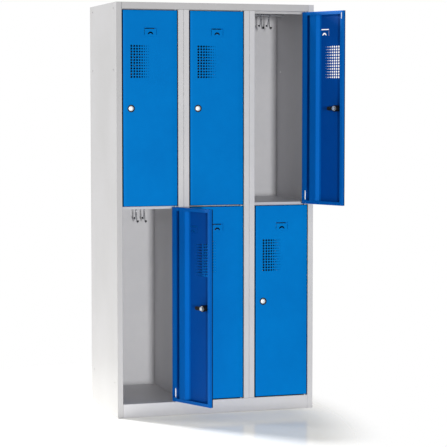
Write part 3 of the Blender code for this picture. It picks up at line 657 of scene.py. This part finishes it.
# %% [markdown]
# ## Hinge rods
# A door turns on a steel rod that runs up inside its hinge edge into the frame at both
# ends. A thicker bright sleeve shows through the notch of the lip near the bottom. The
# rod is a turned piece: one profile of radius against height, round the hinge line. A
# cylinder with a second one over it would leave hidden walls inside.

# %% Hinge rods
ROD_RADIUS = 2.6 * MM
ROD_TIP = 2.0 * MM
SLEEVE_RADIUS = 3.4 * MM
SLEEVE_LOW = 6 * MM
SLEEVE_HIGH = 52 * MM
CHAMFER = 0.6 * MM
STEP = 0.4 * MM

for tag in TAGS:
    low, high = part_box("hinge_rod_" + tag)
    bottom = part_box("door_" + tag)[0].z
    start, end = low.z - bottom, high.z - bottom
    line = [(ROD_TIP, start), (ROD_RADIUS, start + CHAMFER), (ROD_RADIUS, SLEEVE_LOW),
            (SLEEVE_RADIUS, SLEEVE_LOW + STEP), (SLEEVE_RADIUS, SLEEVE_HIGH - STEP),
            (ROD_RADIUS, SLEEVE_HIGH), (ROD_RADIUS, end - CHAMFER), (ROD_TIP, end)]
    points, faces = loft(turned(line, 24))
    rod = make_piece("rod_" + tag, points, faces, (chrome,), "door_" + tag,
                     ("hinge_rod_" + tag,), door_place(tag))
print("each rod has", len(rod.data.polygons), "faces")

# %% [markdown]
# ## Cam locks
# A cam lock is a plug in a housing that passes through the skin. From outside it is a
# black rosette round a bright plug face with a key slot. From inside it is a black barrel
# and a flat cam held by a nut. The housing is a turned ring. The plug's face is lofted
# from the outline of the key slot to the round of the head, so the slot is a real well.

# %% Sizes of a lock, in millimetres from its axis and from the front skin
BORE = 11.0
SHANK = 12.2
BARREL = 14.0
ROSETTE = 16.0
ROSETTE_FRONT = -1.5
SKIN_FRONT = -0.05
SKIN_BACK = 1.3
BARREL_END = 30
PLUG = 10.6
HEAD = 8.1
HEAD_FRONT = -3.2
HEAD_BACK = -0.6
PLUG_END = 32
KEY_SLOT = (1.3, 4.2)
KEY_SLOT_DEPTH = 4.0
CAM_LENGTH = 42
CAM_HALF_WIDTH = 8.5
CAM_FRONT = 31
CAM_BACK = 34
NUT_RADIUS = 8.5
NUT_BACK = 38
print("a cam reaches", CAM_LENGTH, "mm from the axis of its plug")

# %% Lock housings, plugs, cams and nuts


def stadium(length, half_width, sides=32):
    """Outline of a cam: (w cos a, w sin a), its right half moved out by the length less w."""
    angle = np.linspace(0, math.tau, sides, endpoint=False) + math.pi / sides
    x = half_width * np.cos(angle)
    z = half_width * np.sin(angle)
    return np.stack([np.where(np.cos(angle) > 0, x + length - half_width, x), z], -1)


def plate(shape, start, end, bevel):
    """Rings of a flat plate between two depths, its rims drawn in by a bevel at both ends."""
    centre = shape.mean(0)
    span = np.linalg.norm(shape - centre, axis=1).max()
    drawn_in = centre + (shape - centre) * (1 - bevel / span)
    rings = [(drawn_in, start), (shape, start + bevel), (shape, end - bevel), (drawn_in, end)]
    return np.stack([np.stack([s[:, 0], np.full(len(s), y), s[:, 1]], -1) for s, y in rings])


def plug_rings():
    """Rings of the plug: floor and mouth of the key slot, head and shank. The slot is a
    superellipse, x = w |cos a|^p and z = h |sin a|^p with their signs, where p is 0.35."""
    sides = 40
    angle = np.linspace(0, math.tau, sides, endpoint=False)
    power = 0.35
    slot = np.stack([KEY_SLOT[0] * np.sign(np.cos(angle)) * np.abs(np.cos(angle)) ** power,
                     KEY_SLOT[1] * np.sign(np.sin(angle)) * np.abs(np.sin(angle)) ** power], -1)
    floor = np.stack([slot[:, 0], np.full(sides, HEAD_FRONT + KEY_SLOT_DEPTH), slot[:, 1]], -1)
    mouth = np.stack([slot[:, 0], np.full(sides, HEAD_FRONT), slot[:, 1]], -1)
    head = soften([(HEAD - 2.1, HEAD_FRONT), (HEAD - 0.7, HEAD_FRONT + 0.3),
                   (HEAD, HEAD_FRONT + 1.0), (HEAD, HEAD_BACK), (PLUG, HEAD_BACK),
                   (PLUG, PLUG_END)], 0.4, 3)
    return np.concatenate([[floor, mouth], turned(head, sides, "Y")]) * MM


def housing_rings():
    """Rings of the housing: rosette, the shank through the skin, barrel, and back up the bore."""
    line = [(BORE, ROSETTE_FRONT), (ROSETTE - 0.6, ROSETTE_FRONT), (ROSETTE, ROSETTE_FRONT + 0.6),
            (ROSETTE, SKIN_FRONT), (SHANK, SKIN_FRONT), (SHANK, SKIN_BACK), (BARREL, SKIN_BACK),
            (BARREL, BARREL_END), (BORE, BARREL_END), (BORE, ROSETTE_FRONT)]
    return turned(soften(line, 0.3, 3), 40, "Y") * MM


for tag in TAGS:
    lock_x = (HINGE_INSET - LEAF_WIDTH + LOCK_AT) * MM
    place = door_place(tag) @ Matrix.Translation(
        (lock_x, -HINGE_SETBACK * MM, door_height(tag) / 2))
    points, faces = loft(housing_rings())
    make_piece("lock_housing_" + tag, points, faces[:-2], (black_casting,), "door_" + tag,
               ("lock_body_" + tag,), place)
    points, faces = loft(plug_rings())
    make_piece("lock_plug_" + tag, points, faces, (chrome,), "lock_cam_" + tag,
               ("lock_cam_" + tag,), place)
    cam = plate(stadium(CAM_LENGTH, CAM_HALF_WIDTH), CAM_FRONT, CAM_BACK, 0.4)
    points, faces = loft(cam * MM)
    make_piece("lock_cam_plate_" + tag, points, faces, (black_casting,), "lock_cam_" + tag,
               (), place)
    corner = np.linspace(0, math.tau, 6, endpoint=False)
    hexagon = NUT_RADIUS * np.stack([np.cos(corner), np.sin(corner)], -1)
    points, faces = loft(plate(hexagon, CAM_BACK, NUT_BACK, 0.7) * MM)
    nut = make_piece("lock_nut_" + tag, points, faces, (chrome,), "lock_cam_" + tag,
                     (), place)
print("locks made, a nut has", len(nut.data.polygons), "faces")

# %% [markdown]
# ## Coat rails and hooks
# Each compartment has a round steel rail under its ceiling, and two double hooks bent
# from wire that slide along it. A hook's middle line is a smooth curve through a few
# points in one plane. A circle carried along it makes the wire, and the circle swells to
# a ball at each tip, so that the tip is one surface with the wire.

# %% Rails and hooks


def smooth_line(points, each=7):
    """Catmull-Rom curve: between P1 and P2, 0.5 (2 P1 + (P2 - P0) t + (2 P0 - 5 P1 + 4 P2
    - P3) t^2 + (3 P1 - P0 - 3 P2 + P3) t^3), with the end points repeated."""
    p = np.concatenate([points[:1], points, points[-1:]])
    p0, p1, p2, p3 = (p[i:len(p) - 3 + i, None] for i in range(4))
    t = np.linspace(0, 1, each, endpoint=False)[None, :, None]
    curve = 0.5 * (2 * p1 + (p2 - p0) * t + (2 * p0 - 5 * p1 + 4 * p2 - p3) * t ** 2
                   + (3 * p1 - p0 - 3 * p2 + p3) * t ** 3)
    return np.concatenate([curve.reshape(-1, 2), points[-1:]])


def wire_rings(line, radius, ball, sides=14):
    """Rings along a line in the Y-Z plane, and which of the bands between them are a tip.
    A ring's radius is the wire's, or the ball's sqrt(b^2 - (s - b)^2) at a distance s from
    either tip, whichever is more."""
    step = np.linalg.norm(np.diff(line, axis=0), axis=1)
    s = np.concatenate([[0], np.cumsum(step)])
    extra = np.linspace(0, 2 * ball, 12)
    at = np.unique(np.concatenate([s, extra, s[-1] - extra]).round(7))
    y, z = np.interp(at, s, line[:, 0]), np.interp(at, s, line[:, 1])
    tangent = np.stack([np.gradient(y, at), np.gradient(z, at)], -1)
    tangent /= np.linalg.norm(tangent, axis=1)[:, None]
    from_tip = np.minimum(at, s[-1] - at)
    swell = np.sqrt(np.maximum(ball ** 2 - (from_tip - ball) ** 2, 0))
    size = np.where(from_tip < ball, np.maximum(swell, 0.02 * ball), np.maximum(radius, swell))
    angle = np.linspace(0, math.tau, sides, endpoint=False)
    x = size[:, None] * np.cos(angle)
    across = size[:, None] * np.sin(angle)
    ring_y = y[:, None] - tangent[:, 1:] * across
    ring_z = z[:, None] + tangent[:, :1] * across
    return np.stack([x, ring_y, ring_z], -1), from_tip[1:] < 1.9 * ball


HOOK_POINTS = np.array([
    (-34, -55), (-33, -62), (-25, -66.5), (-15, -60), (-9, -38), (-3.6, -14), (-7.2, -4),
    (-7.2, 3), (0, 7.8), (7.2, 3), (7.2, -4), (3.6, -14), (7.5, -31), (13, -47), (20, -54.3),
    (27, -52), (30, -44)]) * MM
WIRE_RADIUS = 2.1 * MM
BALL_RADIUS = 4.4 * MM
RAIL_RADIUS = 5 * MM
RAIL_TIP = 4.4 * MM

for tag in TAGS:
    low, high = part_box("coat_rail_" + tag)
    centre = (low + high) / 2
    half = (high.x - low.x) / 2
    tube = [(RAIL_TIP, -half), (RAIL_RADIUS, -half + CHAMFER), (RAIL_RADIUS, half - CHAMFER),
            (RAIL_TIP, half)]
    points, faces = loft(turned(tube, 28, "X"))
    make_piece("rail_" + tag, points, faces, (zinc,), "frame",
               ("coat_rail_" + tag,), Matrix.Translation(centre))
    for letter in ("a", "b"):
        node = "coat_hook_" + letter + "_" + tag
        low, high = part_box(node)
        place = Matrix.Translation(((low.x + high.x) / 2, centre.y, centre.z))
        rings, tips = wire_rings(smooth_line(HOOK_POINTS), WIRE_RADIUS, BALL_RADIUS)
        points, faces = loft(rings)
        marks = np.append(np.repeat(tips, rings.shape[1]), (1, 1)).astype(np.int32)
        hook = make_piece("hook_" + letter + "_" + tag, points, faces, (hook_wire, black_casting),
                          node, (node,), place, marks)
print("each hook has", len(hook.data.polygons), "faces")

# %% [markdown]
# ## Rubber buffers
# A strip of white rubber near the top of each upper leaf's free edge softens its stroke
# against the stop. It is a short bar with rounded ends pressed onto the lip, a plate like
# the cams with another outline.

# %% Buffers
BUFFER_HALF = (2.0, 14.0)
BUFFER_THICK = 1.2
BUFFER_INSET = 8
BUFFER_DROP = 23

for tag in [tag for tag in TAGS if tag.endswith("upper")]:
    height = door_height(tag) / MM
    shape = outline(0, 0, *BUFFER_HALF, 5, False)
    points, faces = loft(plate(shape, 0, BUFFER_THICK, 0.4) * MM)
    place = door_place(tag) @ Matrix.Translation(
        Vector((HINGE_INSET - LEAF_WIDTH + BUFFER_INSET, LEAF_DEPTH - HINGE_SETBACK,
                height - BUFFER_DROP)) * MM)
    make_piece("buffer_" + tag, points, faces, (white_rubber,), "door_" + tag,
               (), place)
print("buffers made,", 2 * BUFFER_HALF[1], "mm long")

# %% [markdown]
# ## Floor
# The locker stands on a satin white floor that is lit from below as well, so it is pure
# white except in the locker's own soft shadow. The floor shows a faint mirror image of
# what stands on it, tinted warm so that the blue doors don't colour it much. Further out
# it fades into the white room, so no edge of it shows.

# %% Floor
FLOOR_GLOW = 0.23
FLOOR_MIRROR = 0.20
MIRROR_TINT = "#FFF7CB"
FADE_CENTRE = (-0.35, 0.0, 0.0)
FADE_SCALE = (1.0, 0.6, 1.0)
FADE_START = 0.64
FADE_END = 0.98


def floor_finish():
    """White satin floor: paint and glow with a share of mirror, clear beyond a fading ring."""
    finish, tree, output, place = new_finish("white_studio_floor")
    grain = add(tree, "TexNoise", {"Scale": 8.0, "Detail": 2.0}, {"Vector": place})
    gloss = add(tree, "MapRange", {"To Min": 0.06, "To Max": 0.12}, {"Value": grain.outputs["Fac"]})
    paint = add(tree, "BsdfPrincipled", {
        "Base Color": linear("#F3F3F3"), "Roughness": 0.9, "Specular IOR Level": 0.0,
        "Emission Color": linear("#FFFFFF"), "Emission Strength": FLOOR_GLOW})
    mirror = add(tree, "BsdfAnisotropic", {"Color": linear(MIRROR_TINT)},
                 {"Roughness": gloss.outputs["Result"]})
    satin = add(tree, "MixShader", {0: FLOOR_MIRROR},
                {1: paint.outputs["BSDF"], 2: mirror.outputs["BSDF"]})
    clear = add(tree, "BsdfTransparent")
    away = add(tree, "VectorMath", {"operation": "SUBTRACT", 1: FADE_CENTRE}, {0: place})
    scaled = add(tree, "VectorMath", {"operation": "MULTIPLY", 1: FADE_SCALE},
                 {0: away.outputs["Vector"]})
    distance = add(tree, "VectorMath", {"operation": "LENGTH"}, {0: scaled.outputs["Vector"]})
    fade = add(tree, "MapRange", {"From Min": FADE_START, "From Max": FADE_END,
                                  "interpolation_type": "SMOOTHSTEP"},
               {"Value": distance.outputs["Value"]})
    mix = add(tree, "MixShader", {}, {0: fade.outputs["Result"], 1: satin.outputs["Shader"],
                                      2: clear.outputs["BSDF"]})
    tree.links.new(mix.outputs["Shader"], output.inputs["Surface"])
    return finish


def floor_disc(radius=4.0, under=0.5 * MM, rings=24, sides=96):
    """Flat disc: points r (cos a, sin a) on rings out from a small middle, just under zero."""
    r = np.linspace(10 * MM, radius, rings)
    return turned(np.stack([r, np.full(rings, -under)], -1), sides)


points, faces = loft(floor_disc())
mesh = bpy.data.meshes.new("floor")
mesh.from_pydata(points, [], faces[:-1])
mesh.materials.append(floor_finish())
floor = bpy.data.objects.new("floor", mesh)
bpy.context.scene.collection.objects.link(floor)
floor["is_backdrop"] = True
print("floor", len(mesh.polygons), "faces")

# %% [markdown]
# ## Light
# The room behind the locker is brighter than the room in front of it, as in a studio. A
# level beam from the front, a little to the left, reaches into the upper corners of the
# compartments. A low beam makes the left wall the brightest. A high beam from behind the
# left corner throws the locker's shadow towards the front right.

# %% Room and beams
scene = bpy.context.scene
scene.view_settings.view_transform = "Standard"
ROOM_BEHIND = 0.52
ROOM_IN_FRONT = 0.35
room = bpy.data.worlds.new("white_room")
scene.world = room
room.use_nodes = True
tree = room.node_tree
tree.nodes.clear()
way = add(tree, "SeparateXYZ", {}, {0: add(tree, "TexCoord").outputs["Generated"]})
level = add(tree, "MapRange", {"From Min": -0.25, "From Max": 0.35, "To Min": ROOM_IN_FRONT,
                               "To Max": ROOM_BEHIND, "interpolation_type": "SMOOTHSTEP"},
            {"Value": way.outputs["Y"]})
seen = add(tree, "LightPath").outputs["Is Camera Ray"]
strength = add(tree, "Math", {"operation": "MAXIMUM"}, {0: level.outputs["Result"], 1: seen})
white = add(tree, "Background", {"Color": linear("#FFFFFF")}, {"Strength": strength.outputs[0]})
output = add(tree, "OutputWorld", {}, {"Surface": white.outputs["Background"]})


LAMP_DISTANCE = 6


def beam(name, share, angle, azimuth, elevation):
    """A sun that lights a white surface facing it to a share of white. Its direction is
    (cos a cos e, sin a cos e, sin e) from azimuth a, measured from +X, and elevation e."""
    lamp = bpy.data.lights.new(name, "SUN")
    lamp.energy = share * math.pi
    lamp.angle = math.radians(angle)
    a, e = math.radians(azimuth), math.radians(elevation)
    toward = Vector((math.cos(a) * math.cos(e), math.sin(a) * math.cos(e), math.sin(e)))
    item = bpy.data.objects.new(name, lamp)
    scene.collection.objects.link(item)
    item.location = toward * LAMP_DISTANCE
    item.rotation_euler = (-toward).to_track_quat("-Z", "Y").to_euler()


beam("front_beam", 0.46, 5, 266, 0)
beam("rear_beam", 0.85, 6, 129.5, 60)
beam("left_beam", 0.50, 12, 149, 12)

# %% [markdown]
# ## Camera
# The camera stands a little left of the locker and above its middle, about seven metres
# away with a long lens, so the upright edges stay nearly parallel.

# %% Camera
EYE_PLACE = (-2.211, -7.2005, 1.382)
LENS = 138.5
LOOK_DOWN = math.radians(4.12)
LOOK_RIGHT = math.radians(17.31)

eye = bpy.data.cameras.new("eye")
eye.sensor_width = 36.0
eye.lens = LENS
camera = bpy.data.objects.new("eye", eye)
scene.collection.objects.link(camera)
camera.location = EYE_PLACE
camera.rotation_euler = (math.radians(90) - LOOK_DOWN, 0, -LOOK_RIGHT)
scene.camera = camera
print("camera", tuple(round(v, 3) for v in camera.location))

# %% [markdown]
# ## Size
# A finer surface may stand a little off the frame's. The box of the finished locker is
# printed.

# %% The size of the finished locker
low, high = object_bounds()
print("visual box", [round(v, 4) for v in high - low])
